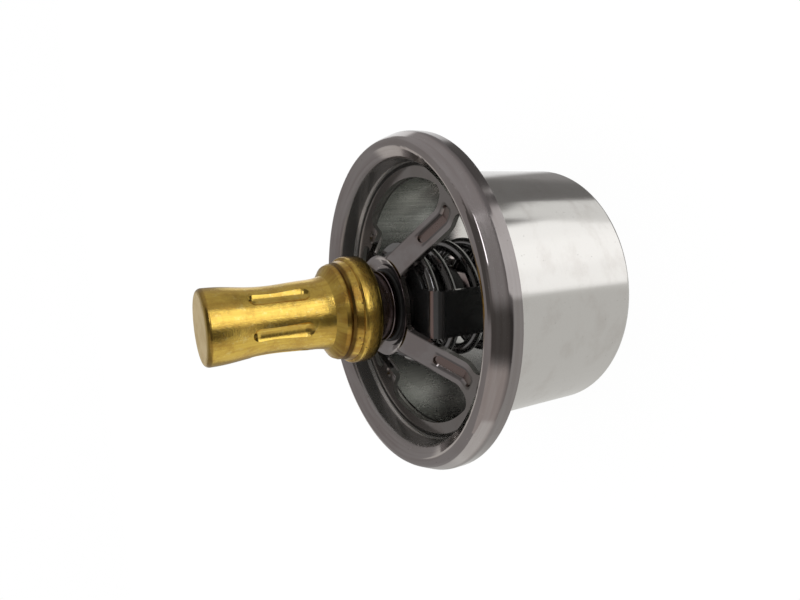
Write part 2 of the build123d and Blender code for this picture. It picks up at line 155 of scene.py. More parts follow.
class Board:
    """A node tree with one way to add any node."""

    def __init__(self, tree: bpy.types.NodeTree) -> None:
        """Keep the tree and empty it.

        Args:
            tree: The node tree of a material or of the world.
        """
        self.tree = tree
        tree.nodes.clear()

    def node(
        self,
        kind: str,
        settings: dict[str, Any] | None = None,
        inputs: dict[str | int, Any] | None = None,
    ) -> bpy.types.Node:
        """Add one node.

        Args:
            kind: The node's type name.
            settings: Its properties, which are set before its sockets.
            inputs: Values or signals for its sockets, by name or number.

        Returns:
            The new node.
        """
        made = self.tree.nodes.new(kind)
        for name, value in (settings or {}).items():
            setattr(made, name, value)
        for key, value in (inputs or {}).items():
            socket = made.inputs[key]
            if isinstance(value, Signal):
                self.tree.links.new(value.socket, socket)
            elif isinstance(value, bpy.types.NodeSocket):
                self.tree.links.new(value, socket)
            else:
                socket.default_value = value
        return made

    def math(self, operation: str, *values: Signal | float) -> Signal:
        """Add a Math node and return its result."""
        made = self.node("ShaderNodeMath", {"operation": operation}, dict(enumerate(values)))
        return Signal(self, made.outputs[0])

    def mix(self, factor: Signal | float, first: Any, second: Any) -> Signal:
        """Blend two colours.

        Args:
            factor: 0 gives the first colour and 1 the second.
            first: A colour or a signal.
            second: A colour or a signal.

        Returns:
            The blended colour.
        """
        share_socket, first_socket, second_socket, result_socket = 0, 6, 7, 2
        under, over = (c if isinstance(c, Signal) else (*c, 1.0) for c in (first, second))
        made = self.node(
            "ShaderNodeMix",
            {"data_type": "RGBA"},
            {share_socket: factor, first_socket: under, second_socket: over},
        )
        return Signal(self, made.outputs[result_socket])

    def place(self) -> Signal:
        """Read the point's own place.

        Returns:
            The place in millimetres as a vector.
        """
        where = self.node("ShaderNodeTexCoord")
        made = self.node(
            "ShaderNodeVectorMath",
            {"operation": "SCALE"},
            {0: where.outputs["Object"], "Scale": 1 / MM},
        )
        return Signal(self, made.outputs[0])

    def parts_of(self, vector: Signal) -> tuple[Signal, Signal, Signal]:
        """Return a vector's three numbers."""
        made = self.node("ShaderNodeSeparateXYZ", None, {0: vector})
        return tuple(Signal(self, s) for s in made.outputs[:3])

    def vector(self, x: Signal | float, y: Signal | float, z: Signal | float) -> Signal:
        """Return a vector made of three numbers."""
        made = self.node("ShaderNodeCombineXYZ", None, {0: x, 1: y, 2: z})
        return Signal(self, made.outputs[0])

    def noise(
        self, vector: Signal, scale: float, detail: float = 2.0, rough: float = 0.5
    ) -> Signal:
        """Add a smooth noise.

        Args:
            vector: The place that it is read at.
            scale: Cells to a millimetre of the vector.
            detail: Octaves of finer noise on it.
            rough: How strong the finer noise is.

        Returns:
            The noise, from about 0 to 1.
        """
        made = self.node(
            "ShaderNodeTexNoise",
            {"noise_dimensions": "3D"},
            {"Vector": vector, "Scale": scale, "Detail": detail, "Roughness": rough},
        )
        return Signal(self, made.outputs["Fac"])

    def bump(self, height: Signal, distance: float, strength: float = 1.0) -> Signal:
        """Raise a surface in the light only.

        Args:
            height: The relief, from about 0 to 1.
            distance: Its height in millimetres where it is 1.
            strength: The share of it that shows.

        Returns:
            The raised surface's normal.
        """
        made = self.node(
            "ShaderNodeBump",
            None,
            {"Height": height, "Distance": distance * MM, "Strength": strength},
        )
        return Signal(self, made.outputs[0])


@dataclass(frozen=True)
class Polar:
    """The places that turned and pressed finishes are drawn by."""

    point: Signal
    x: Signal
    y: Signal
    radius: Signal
    angle: Signal
    height: Signal

    @classmethod
    def on(cls, board: Board) -> "Polar":
        """Read where the surface is.

        Args:
            board: The node tree.

        Returns:
            Places in millimetres and the angle in radians, round the valve's axis.
        """
        point = board.place()
        x, y, z = board.parts_of(point)
        radius = board.math("SQRT", x * x + y * y)
        return cls(point, x, y, radius, board.math("ARCTAN2", y, x), z)

    def sheet(self, board: Board, around: float, along: float) -> Signal:
        """Return a place whose noise is drawn out round the axis or along it.

        Args:
            board: The node tree.
            around: Cells to a millimetre of arc at a radius of 10 mm.
            along: Cells to a millimetre of radius and height.

        Returns:
            The stretched place.
        """
        ten_mm = 10.0
        radius_share = 0.7
        cosine = self.x / self.radius
        sine = self.y / self.radius
        depth = (self.height + self.radius * radius_share) * along
        return board.vector(cosine * (ten_mm * around), sine * (ten_mm * around), depth)

    def rings(self, board: Board, around: float, per_mm: float) -> Signal:
        """Draw the fine rings that a turning tool leaves.

        Args:
            board: The node tree.
            around: Cells to a radian of the turn.
            per_mm: Rings to a millimetre of height or radius.

        Returns:
            The rings, from about 0 to 1.
        """
        place = board.vector(self.angle * around, self.height * per_mm, self.radius * per_mm)
        return board.noise(place, 1.0, 2.0)


# --- finishes -------------------------------------------------------------------------------
@dataclass(frozen=True)
class Finish:
    """What all finishes share: a name and the shader's constant sockets.

    Where a finish is drawn, places and widths are in millimetres, a ramp of a noise takes the
    values between which its patches come up, and a factor times a mask is how strongly the
    colour that follows covers the one below it.
    """

    name: str
    colour: RGB
    metallic: float = 1.0
    roughness: float = 0.12
    coat: float = 0.0
    coat_roughness: float = 0.05
    index: float = 1.5

    def material(self) -> bpy.types.Material:
        """Build the material with its nodes.

        Returns:
            The new material.
        """
        made = bpy.data.materials.new(self.name)
        made.use_nodes = True
        board = Board(made.node_tree)
        shader = board.node(
            "ShaderNodeBsdfPrincipled",
            None,
            {
                "Base Color": (*self.colour, 1.0),
                "Metallic": self.metallic,
                "Roughness": self.roughness,
                "Coat Weight": self.coat,
                "Coat Roughness": self.coat_roughness,
                "IOR": self.index,
            },
        )
        self.draw(board, shader)
        board.node("ShaderNodeOutputMaterial", None, {"Surface": shader.outputs[0]})
        return made

    def draw(self, board: Board, shader: bpy.types.Node) -> None:
        """Add what changes over the surface; each finish has its own."""

    @staticmethod
    def feed(board: Board, shader: bpy.types.Node, **signals: Signal) -> None:
        """Link signals to the shader's sockets.

        Args:
            board: The node tree.
            shader: The Principled node.
            signals: Signals by the socket's name, with _ for the space.
        """
        for name, signal in signals.items():
            socket = shader.inputs[name.replace("_", " ")]
            board.tree.links.new(signal.socket, socket)


@dataclass(frozen=True)
class PressedFlange(Finish):
    """Bright pressed stainless with a brown-mauve film and painted shade down the cup's wall."""

    film: RGB = (0.34, 0.28, 0.27)
    rubbed: RGB = (0.70, 0.66, 0.66)
    painted_wall_shade: RGB = (0.14, 0.145, 0.13)
    painted_foot_highlight: RGB = (0.95, 0.92, 0.88)
    painted_outer_dark_reflection: RGB = (0.19, 0.175, 0.175)
    pit: RGB = (0.08, 0.06, 0.06)
    cup_r: float = 28.45
    mouth_z: float = 37.45
    floor_z: float = 33.3
    rim_r: float = 33.5

    def draw(self, board: Board, shader: bpy.types.Node) -> None:
        """Draw the film's streaks, fine press lines and rub marks, painted shade on the cup's wall,
        a painted highlight at its foot and a painted dark reflection on the rim's outer wall.

        Args:
            board: The node tree.
            shader: The Principled node that they feed.
        """
        at = Polar.on(board)
        streaks = board.noise(at.sheet(board, 0.12, 1.1), 1.0, 3.0, 0.55).ramp(0.40, 0.66)
        clouds = board.noise(at.sheet(board, 0.10, 0.16), 1.0, 3.0, 0.6).ramp(0.42, 0.64)
        fine = board.noise(at.sheet(board, 0.5, 7.0), 1.0, 3.0, 0.6)
        colour = board.mix(streaks * 0.35 + clouds * 0.35, self.colour, self.film)
        rubs = board.noise(at.point, 1.4, 4.0, 0.7).ramp(0.60, 0.74)
        colour = board.mix(rubs * 0.30, colour, self.rubbed)
        # Painted shade: the cup's inner wall is drawn darker.
        wall = at.radius.ramp(self.cup_r + 0.9, self.cup_r + 0.1)
        wall = wall * at.height.ramp(self.mouth_z + 0.6, self.mouth_z - 0.6)
        colour = board.mix(wall * 0.66, colour, self.painted_wall_shade)
        # Painted highlight: a light line along the foot of the cup's wall.
        foot = at.height.band(self.floor_z + 0.45, 0.35, 0.25) * wall
        colour = board.mix(foot * 0.9, colour, self.painted_foot_highlight)
        # Painted dark reflection: the rim's outer wall is drawn darker.
        outside = at.radius.ramp(self.rim_r - 0.35, self.rim_r - 0.05)
        colour = board.mix(outside * 0.70, colour, self.painted_outer_dark_reflection)
        pits = board.noise(at.point, 2.6, 1.0).ramp(0.76, 0.80)
        colour = board.mix(pits * 0.6, colour, self.pit)
        rough = self.roughness + fine * 0.05 + clouds * 0.05 + wall * 0.10
        bumps = (fine * 0.5 + board.noise(at.point, 0.9, 2.0)) * (1.0 - wall)
        self.feed(
            board,
            shader,
            Base_Color=colour,
            Metallic=1.0 - wall * 0.20,
            Roughness=rough,
            Normal=board.bump(bumps, 0.006, 0.35),
        )


@dataclass(frozen=True)
class PressedSpider(Finish):
    """Stainless strip with brown oxide in its pressed grooves, painted shade round the grooves,
    along the legs' edges and over the ring, and dark sheared faces.
    """

    haze: RGB = (0.36, 0.31, 0.30)
    rubbed: RGB = (0.56, 0.52, 0.52)
    groove: RGB = (0.30, 0.22, 0.20)
    painted_groove_outline_shade: RGB = (0.05, 0.04, 0.04)
    painted_groove_end_shade: RGB = (0.04, 0.03, 0.03)
    painted_leg_edge_shade: RGB = (0.10, 0.09, 0.08)
    painted_ring_shade: RGB = (0.24, 0.23, 0.21)
    cut_grey: RGB = (0.17, 0.165, 0.15)
    groove_in_r: float = 15.7
    groove_out_r: float = 22.6
    groove_half: float = 1.0
    leg_half: float = 2.9
    ring_r: float = 20.4

    def draw(self, board: Board, shader: bpy.types.Node) -> None:
        """Draw the grooves' floors, painted shade on their outlines and outer ends, along the legs'
        edges and over the ring, the sheared edges and the strip's grain.

        Args:
            board: The node tree.
            shader: The Principled node that they feed.
        """
        at = Polar.on(board)
        grain = board.noise(at.point, 3.2, 3.0, 0.6)
        clouds = board.noise(at.point, 0.22, 3.0, 0.6).ramp(0.40, 0.66)
        colour = board.mix(clouds * 0.5, self.colour, self.haze)
        rubs = board.noise(at.point, 1.2, 4.0, 0.7).ramp(0.58, 0.74)
        colour = board.mix(rubs * 0.30, colour, self.rubbed)
        across = board.math("MINIMUM", abs(at.x), abs(at.y))
        along = at.radius.ramp(self.groove_in_r - 0.5, self.groove_in_r + 0.1)
        along = along * at.radius.ramp(self.groove_out_r + 0.5, self.groove_out_r - 0.1)
        # Painted shade along the grooves' outlines.
        line = across.band(self.groove_half + 0.45, 0.12, 0.3) * along
        # Painted shade in the grooves' deep outer ends.
        ends = (at.radius - self.groove_out_r).band(0.1, 0.25, 0.3)
        ends = ends * across.ramp(self.groove_half + 0.5, self.groove_half)
        floor = across.ramp(self.groove_half + 0.25, self.groove_half - 0.15) * along
        colour = board.mix(floor * 0.85, colour, self.groove)
        colour = board.mix(line * 0.55, colour, self.painted_groove_outline_shade)
        colour = board.mix(ends * 0.8, colour, self.painted_groove_end_shade)
        # Painted shade along the legs' edges.
        edge = across.band(self.leg_half, 0.12, 0.2)
        edge = edge * at.radius.ramp(self.ring_r - 3.0, self.ring_r - 5.0)
        colour = board.mix(edge * 0.6, colour, self.painted_leg_edge_shade)
        # Painted shade over the ring down in the cup.
        ring = at.radius.ramp(self.ring_r, self.ring_r + 1.5)
        colour = board.mix(ring * 0.50, colour, self.painted_ring_shade)
        facing = Signal(board, board.node("ShaderNodeNewGeometry").outputs["True Normal"])
        _, _, upward = board.parts_of(facing)
        steep = abs(upward).ramp(0.28, 0.12)
        sheared = steep * at.radius.ramp(self.ring_r - 4.0, self.ring_r - 2.5)
        colour = board.mix(sheared, colour, self.cut_grey)
        rough = self.roughness + grain * 0.06 + floor * 0.18 + clouds * 0.05 + sheared * 0.3
        self.feed(
            board,
            shader,
            Base_Color=colour,
            Metallic=1.0 - sheared * 0.6,
            Roughness=rough,
            Normal=board.bump(grain + board.noise(at.point, 0.8, 2.0) * 0.8, 0.008, 0.5),
        )


@dataclass(frozen=True)
class DrawnSleeve(Finish):
    """Drawn stainless tube: bright outside with lines along it, dull and grey-green inside, with
    painted light towards the open end and painted shade on one side.
    """

    stain: RGB = (0.44, 0.40, 0.37)
    speck: RGB = (0.12, 0.11, 0.10)
    inner: RGB = (0.30, 0.32, 0.295)
    inner_line: RGB = (0.52, 0.53, 0.50)
    painted_open_end_light: RGB = (0.95, 0.94, 0.91)
    shade: RGB = (0.12, 0.125, 0.115)
    shade_deg: float = -75.0
    shade_half_deg: float = 35.0
    shade_soft_deg: float = 20.0
    wall_mid_r: float = 25.5
    painted_light_end_z: float = 17.0
    painted_light_full_z: float = 7.0

    def draw(self, board: Board, shader: bpy.types.Node) -> None:
        """Draw the lines of the drawing die, slow waves, stains and the dull inside, with its
        painted light towards the open end and its painted shade.

        Args:
            board: The node tree.
            shader: The Principled node that they feed.
        """
        at = Polar.on(board)
        lines = board.noise(at.sheet(board, 5.0, 0.10), 1.0, 3.0, 0.6)
        waves = board.noise(at.sheet(board, 0.5, 0.045), 1.0, 2.0, 0.5)
        stains = board.noise(at.sheet(board, 0.35, 0.20), 1.0, 4.0, 0.62).ramp(0.46, 0.70)
        inside = at.radius.ramp(self.wall_mid_r + 0.1, self.wall_mid_r - 0.1)
        colour = board.mix(stains * 0.22, self.colour, self.stain)
        specks = board.noise(at.point, 2.4, 1.0).ramp(0.755, 0.80)
        colour = board.mix(specks * 0.5, colour, self.speck)
        inner_tone_and_light = board.mix(lines.ramp(0.3, 0.7), self.inner, self.inner_line)
        # Painted light: the inside is drawn bright towards the open end.
        inner_tone_and_light = board.mix(at.height.ramp(self.painted_light_end_z, self.painted_light_full_z), inner_tone_and_light, self.painted_open_end_light)
        # Painted shade on one side of the inside.
        shaded = at.angle.band(
            math.radians(self.shade_deg),
            math.radians(self.shade_half_deg),
            math.radians(self.shade_soft_deg),
        )
        inner_tone_and_light = board.mix(shaded * 0.75, inner_tone_and_light, self.shade)
        colour = board.mix(inside * 0.9, colour, inner_tone_and_light)
        rough = self.roughness + lines * 0.07 + stains * 0.04 + inside * 0.14
        height = lines * (0.25 + inside * 1.6) + waves * 1.2
        self.feed(
            board,
            shader,
            Base_Color=colour,
            Roughness=rough,
            Normal=board.bump(height, 0.02, 0.4),
        )


@dataclass(frozen=True)
class TurnedBrass(Finish):
    """Yellow brass, turned and bright, with brown tarnish round its groove, painted shade in the
    groove and under the collar, and painted glints.
    """

    tarnish: RGB = (0.52, 0.28, 0.06)
    streak: RGB = (0.56, 0.32, 0.06)
    glint: RGB = (0.98, 0.80, 0.34)
    cone_brown: RGB = (0.36, 0.15, 0.03)
    painted_groove_shade: RGB = (0.14, 0.07, 0.02)
    painted_under_collar_shade: RGB = (0.20, 0.165, 0.05)
    pit: RGB = (0.12, 0.07, 0.02)
    lip_brown: RGB = (0.30, 0.16, 0.04)
    tip_gold: RGB = (0.98, 0.76, 0.34)
    rings_per_mm: float = 7.0
    groove_z: float = 50.85
    shoulder_z: float = 52.05
    collar_z: float = 49.1
    tip_z: float = 75.5

    def draw(self, board: Board, shader: bpy.types.Node) -> None:
        """Draw the turning lines, the mottled tarnish, painted glints, and painted shade in the
        groove and under the collar.

        Args:
            board: The node tree.
            shader: The Principled node that they feed.
        """
        at = Polar.on(board)
        mottle = board.noise(at.point, 0.36, 5.0, 0.68).ramp(0.44, 0.66)
        streaks = board.noise(at.sheet(board, 1.3, 0.10), 1.0, 4.0, 0.65).ramp(0.42, 0.66)
        crinkles = board.noise(at.point, 1.1, 5.0, 0.72)
        rings = at.rings(board, 0.2, self.rings_per_mm)
        colour = board.mix(mottle * 0.42, self.colour, self.tarnish)
        colour = board.mix(streaks * 0.34, colour, self.streak)
        # Painted highlight: bright glints on the crinkled places.
        colour = board.mix(crinkles.ramp(0.54, 0.68) * 0.40, colour, self.glint)
        cone = at.height.ramp(self.collar_z - 0.8, self.collar_z + 0.2)
        cone = cone * at.height.ramp(self.shoulder_z + 1.6, self.shoulder_z)
        brown = board.noise(at.sheet(board, 0.5, 0.3), 1.0, 3.0).ramp(0.38, 0.62)
        colour = board.mix(cone * brown * 0.55, colour, self.cone_brown)
        # Painted shade in the groove.
        groove = at.height.band(self.groove_z, 0.30, 0.55)
        colour = board.mix(groove * 0.75, colour, self.painted_groove_shade)
        # Painted shade on the collar's underside.
        below = at.height.ramp(self.collar_z - 1.4, self.collar_z - 3.4)
        colour = board.mix(below * 0.70, colour, self.painted_under_collar_shade)
        collar = at.height.ramp(self.shoulder_z, self.collar_z)
        pits = board.noise(at.point, 1.7, 1.0).ramp(0.68, 0.74) * collar
        colour = board.mix(pits * 0.8, colour, self.pit)
        lip = at.height.band(self.tip_z - 0.45, 0.2, 0.35)
        colour = board.mix(lip * 0.55, colour, self.lip_brown)
        tip = at.height.ramp(self.tip_z - 0.25, self.tip_z - 0.05)
        colour = board.mix(tip * 0.80, colour, self.tip_gold)
        rough = self.roughness + rings * 0.05 + mottle * 0.09 + tip * 0.16
        height = rings * 0.25 + crinkles * 1.3
        self.feed(
            board,
            shader,
            Base_Color=colour,
            Roughness=rough,
            Normal=board.bump(height, 0.05, 0.55),
        )


@dataclass(frozen=True)
class BlackedSteel(Finish):
    """Black oxide steel under an oil film, brown where it has rubbed."""

    worn: RGB = (0.075, 0.045, 0.035)
    painted_bend_reflection: RGB = (0.16, 0.085, 0.07)
    worn_share: float = 0.45
    bend_deg: float = 0.0
    bend_place: float = 0.0

    def draw(self, board: Board, shader: bpy.types.Node) -> None:
        """Draw the film's slow change of gloss, thin worn places and, where a bend is given, a
        painted brown reflection along it.

        Args:
            board: The node tree.
            shader: The Principled node that they feed.
        """
        at = Polar.on(board)
        slow = board.noise(at.point, 0.5, 3.0)
        rubbed = board.noise(at.point, 0.8, 4.0, 0.65).ramp(0.55, 0.78)
        colour = board.mix(rubbed * self.worn_share, self.colour, self.worn)
        if self.bend_place:
            # Painted reflection: a brown line along the strap's bend.
            turn = math.radians(self.bend_deg)
            along = at.x * math.cos(turn) + at.y * math.sin(turn)
            bend = abs(along).band(self.bend_place, 0.10, 0.35)
            colour = board.mix(bend * 0.8, colour, self.painted_bend_reflection)
        self.feed(
            board,
            shader,
            Base_Color=colour,
            Roughness=self.roughness + slow * 0.08,
            Normal=board.bump(board.noise(at.point, 2.4, 2.0), 0.012, 0.4),
        )


@dataclass(frozen=True)
class TurnedSteel(Finish):
    """Turned steel with fine rings from the tool."""

    stain: RGB = (0.20, 0.13, 0.13)
    rings_per_mm: float = 8.0

    def draw(self, board: Board, shader: bpy.types.Node) -> None:
        """Draw the rings and a light stain.

        Args:
            board: The node tree.
            shader: The Principled node that they feed.
        """
        at = Polar.on(board)
        rings = at.rings(board, 0.3, self.rings_per_mm)
        stain = board.noise(at.point, 0.4, 3.0).ramp(0.45, 0.7)
        colour = board.mix(stain * 0.4, self.colour, self.stain)
        self.feed(
            board,
            shader,
            Base_Color=colour,
            Roughness=self.roughness + rings * 0.08,
            Normal=board.bump(rings, 0.008, 0.4),
        )


@dataclass(frozen=True)
class PlainSolid(Finish):
    """Rubber, wax or plastic: no metal, with a fine mottle."""

    grain_mm: float = 1.0
    dark_share: float = 0.7

    def draw(self, board: Board, shader: bpy.types.Node) -> None:
        """Draw the mottle in colour and gloss.

        Args:
            board: The node tree.
            shader: The Principled node that they feed.
        """
        at = Polar.on(board)
        mottle = board.noise(at.point, 1 / self.grain_mm, 4.0)
        darker = tuple(self.dark_share * part for part in self.colour)
        self.feed(
            board,
            shader,
            Base_Color=board.mix(mottle, self.colour, darker),
            Roughness=self.roughness + mottle * 0.1,
            Normal=board.bump(mottle, 0.02, 0.4),
        )


# --- sub-assemblies -------------------------------------------------------------------------
class Slot(Enum):
    """The record's material slots."""

    BLACK_STEEL = "black_steel"
    BRASS = "brass"
    FLANGE_STEEL = "flange_steel"
    NECK_STEEL = "neck_steel"
    PISTON_STEEL = "piston_steel"
    PTFE = "ptfe"
    RUBBER = "rubber"
    SLEEVE_STEEL = "sleeve_steel"
    SPIDER_STEEL = "spider_steel"
    SPRING_STEEL = "spring_steel"
    WAX = "wax"


@dataclass
class SubAssembly:
    """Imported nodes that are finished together.

    Every sub-assembly names its finishes by the record's material slots.
    """

    def nodes(self) -> tuple[str, ...]:
        """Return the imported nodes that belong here."""
        return ()

    def finishes(self) -> dict[Slot, Finish]:
        """Return a finish for each material slot that the nodes use."""
        return {}

    def build(self) -> list[bpy.types.Object]:
        """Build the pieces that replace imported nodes; most sub-assemblies keep theirs."""
        return []

    def dress(self, pieces: Sequence[bpy.types.Object]) -> None:
        """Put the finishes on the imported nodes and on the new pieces.

        Args:
            pieces: What build returned.
        """
        made = {slot: finish.material() for slot, finish in self.finishes().items()}
        parts = frame["record"]["subparts"]
        slots = {part["node"]: Slot(part["material_slot"]) for part in parts}
        targets = [(frame["nodes"][node], slots[node]) for node in self.nodes()]
        targets += [(piece, Slot(piece["slot_name"])) for piece in pieces]
        for target, slot in targets:
            target.data.materials.clear()
            target.data.materials.append(made[slot])
            LOG.info("%s: %s in %s", type(self).__name__, target.name, made[slot].name)


@dataclass
class FlangeCup(SubAssembly):
    """The stainless cup with its rolled channel rim."""

    cup_r: float = 28.45
    mouth_z: float = 37.45
    floor_z: float = 33.3
    rim_r: float = 33.5

    def nodes(self) -> tuple[str, ...]:
        """Return the cup."""
        return ("flange",)

    def finishes(self) -> dict[Slot, Finish]:
        """Choose the pressed finish with this cup's sizes.

        Returns:
            The finishes by slot.
        """
        finish = PressedFlange(
            "pressed_stainless",
            (0.52, 0.485, 0.48),
            roughness=0.05,
            rim_r=self.rim_r,
            cup_r=self.cup_r,
            mouth_z=self.mouth_z,
            floor_z=self.floor_z,
        )
        return {Slot.FLANGE_STEEL: finish}


@dataclass
class Spider(SubAssembly):
    """The pressed bridge with four grooved legs."""

    leg_width: float = 5.8
    groove_in_r: float = 15.7
    groove_out_r: float = 22.6
    groove_width: float = 2.0
    ring_r: float = 20.4

    def nodes(self) -> tuple[str, ...]:
        """Return the bridge."""
        return ("spider",)

    def finishes(self) -> dict[Slot, Finish]:
        """Choose the pressed finish with this bridge's sizes.

        Returns:
            The finishes by slot.
        """
        finish = PressedSpider(
            "spider_stainless",
            (0.46, 0.43, 0.43),
            roughness=0.07,
            groove_in_r=self.groove_in_r,
            groove_out_r=self.groove_out_r,
            groove_half=self.groove_width / 2,
            leg_half=self.leg_width / 2,
            ring_r=self.ring_r,
        )
        return {Slot.SPIDER_STEEL: finish}


@dataclass
class WaxElement(SubAssembly):
    """The brass capsule and what it holds."""

    groove_z: float = 50.85
    shoulder_z: float = 52.05
    collar_z: float = 49.1

    def nodes(self) -> tuple[str, ...]:
        """Return the capsule, its charge and the seals in it."""
        return ("wax_cup", "wax_charge", "diaphragm", "rubber_plug")

    def finishes(self) -> dict[Slot, Finish]:
        """Choose brass for the cup, wax and rubber for the filling.

        Returns:
            The finishes by slot.
        """
        tip_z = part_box("wax_cup")[1].z / MM
        return {
            Slot.BRASS: TurnedBrass(
                "turned_brass",
                (0.86, 0.595, 0.125),
                roughness=0.12,
                groove_z=self.groove_z,
                shoulder_z=self.shoulder_z,
                collar_z=self.collar_z,
                tip_z=tip_z,
            ),
            Slot.WAX: PlainSolid(
                "copper_filled_wax",
                (0.42, 0.20, 0.10),
                metallic=0.0,
                roughness=0.5,
                grain_mm=0.4,
            ),
            Slot.RUBBER: PlainSolid(
                "black_rubber", (0.015, 0.015, 0.015), metallic=0.0, roughness=0.6
            ),
        }


@dataclass
class NeckStack(SubAssembly):
    """The guide, the piston that slides in it and what stands round the neck."""

    def nodes(self) -> tuple[str, ...]:
        """Return the guide, the rings on it and the piston."""
        return ("guide", "neck_washer", "hub_gasket", "lock_tube", "piston", "antichafe_disc")

    def finishes(self) -> dict[Slot, Finish]:
        """Choose dark turned steel for the neck and ground steel for the piston.

        Returns:
            The finishes by slot.
        """
        return {
            Slot.NECK_STEEL: TurnedSteel("neck_steel", (0.24, 0.20, 0.205), roughness=0.10),
            Slot.RUBBER: PlainSolid(
                "gasket_rubber", (0.012, 0.012, 0.012), metallic=0.0, roughness=0.35
            ),
            Slot.BLACK_STEEL: BlackedSteel(
                "blacked_tube", (0.012, 0.011, 0.011), metallic=0.0, roughness=0.14
            ),
            Slot.PISTON_STEEL: TurnedSteel("piston_steel", (0.66, 0.65, 0.64), roughness=0.10),
            Slot.PTFE: PlainSolid("white_disc", (0.8, 0.8, 0.78), metallic=0.0, roughness=0.4),
        }


@dataclass
class ReturnSpring(SubAssembly):
    """The wound spring with closed and ground ends, its seat and the seat's circlip.

    Lengths are in millimetres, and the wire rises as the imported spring's does.
    """

    wire_r: float = 1.2
    coil_r: float = 11.15
    low_z: float = 10.65
    top_z: float = 36.5
    turns: float = 5.6
    start_deg: float = 14.0
    end_turns: float = 0.75
    ramp_turns: float = 0.7
    gap: float = 0.05
    travel: float = 9.5
    steps_per_turn: int = 72
    wire_sides: int = 24
    sharp_deg: float = 38.0

    def nodes(self) -> tuple[str, ...]:
        """Return the seat and its circlip."""
        return ("spring_seat", "seat_circlip")

    def finishes(self) -> dict[Slot, Finish]:
        """Choose bright black for the wire and the seat.

        Returns:
            The finishes by slot.
        """
        return {
            Slot.SPRING_STEEL: BlackedSteel(
                "blacked_spring_wire",
                (0.016, 0.015, 0.015),
                metallic=0.0,
                roughness=0.06,
                coat=1.0,
                index=3.0,
                worn_share=0.25,
            ),
            Slot.BLACK_STEEL: BlackedSteel(
                "blacked_seat", (0.012, 0.011, 0.011), metallic=0.0, roughness=0.14, coat=0.4
            ),
            Slot.PISTON_STEEL: TurnedSteel("circlip_steel", (0.30, 0.29, 0.29), roughness=0.16),
        }

    def rise(self, turn: float) -> float:
        """Count the active pitches wound up to a turn.

        Args:
            turn: Turns from the wire's lower end.

        Returns:
            The pitches that lift the wire above a close-wound coil.
        """

        def ramp(value: float) -> float:
            """Return the rise where the pitch grows evenly."""
            value = min(max(value, 0.0), self.ramp_turns)
            return value * value / (2 * self.ramp_turns)

        rising = turn - self.end_turns
        falling = turn - (self.turns - self.end_turns - self.ramp_turns)
        grown = ramp(rising) + max(rising - self.ramp_turns, 0.0)
        lost = ramp(falling) + max(falling - self.ramp_turns, 0.0)
        return grown - lost

    def centre(self, turn: float) -> Vector:
        """Place the wire's centre.

        Args:
            turn: Turns from the wire's lower end.

        Returns:
            The centre in millimetres.
        """
        closed = 2 * self.wire_r + self.gap
        extra = (self.top_z - self.low_z - closed * self.turns) / self.rise(self.turns)
        angle = math.radians(self.start_deg) + TAU * turn
        height = self.low_z + closed * turn + extra * self.rise(turn)
        return Vector((self.coil_r * math.cos(angle), self.coil_r * math.sin(angle), height))

    def build(self) -> list[bpy.types.Object]:
        """Sweep the wire along its law and grind both ends flat.

        Returns:
            The spring.
        """
        bm = bmesh.new()
        nudge = 0.001
        rings: list[list[bmesh.types.BMVert]] = []
        count = round(self.turns * self.steps_per_turn)
        for step in range(count + 1):
            turn = self.turns * step / count
            middle = self.centre(turn)
            ahead = self.centre(turn + nudge) - self.centre(turn - nudge)
            out = Vector((middle.x, middle.y, 0.0)).normalized()
            side = ahead.normalized().cross(out)
            ring = []
            for corner in range(self.wire_sides):
                angle = TAU * corner / self.wire_sides
                point = middle + (out * math.cos(angle) + side * math.sin(angle)) * self.wire_r
                point.z = min(max(point.z, self.low_z), self.top_z)
                ring.append(bm.verts.new(point * MM))
            rings.append(ring)
        for lower, upper in zip(rings, rings[1:]):
            for corner in range(self.wire_sides):
                after = (corner + 1) % self.wire_sides
                bm.faces.new((lower[corner], lower[after], upper[after], upper[corner]))
        bm.faces.new(rings[0][::-1])
        bm.faces.new(rings[-1])
        bmesh.ops.recalc_face_normals(bm, faces=bm.faces)
        mesh = bpy.data.meshes.new("return_spring")
        bm.to_mesh(mesh)
        bm.free()
        mesh.shade_smooth()
        mesh.set_sharp_from_angle(angle=math.radians(self.sharp_deg))
        spring = bpy.data.objects.new("return_spring", mesh)
        bpy.context.scene.collection.objects.link(spring)
        spring["slot_name"] = Slot.SPRING_STEEL.value
        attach(spring, "root")
        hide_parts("spring")
        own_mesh(spring)
        return [spring]


@dataclass
class Yoke(SubAssembly):
    """The strap over the spring, the rivets that hold it and the piston's socket."""

    strap_deg: float = 32.0
    bend_place: float = 12.9

    def nodes(self) -> tuple[str, ...]:
        """Return the strap and what is fixed to it."""
        return ("yoke", "yoke_rivets", "piston_socket")

    def finishes(self) -> dict[Slot, Finish]:
        """Choose bright black for the strap and steel for what is fixed to it.

        Returns:
            The finishes by slot.
        """
        return {
            Slot.BLACK_STEEL: BlackedSteel(
                "blacked_strap",
                (0.012, 0.012, 0.012),
                metallic=0.0,
                roughness=0.10,
                coat=0.45,
                index=2.0,
                bend_deg=self.strap_deg,
                bend_place=self.bend_place,
            ),
            Slot.PISTON_STEEL: TurnedSteel("socket_steel", (0.55, 0.54, 0.53), roughness=0.14),
        }


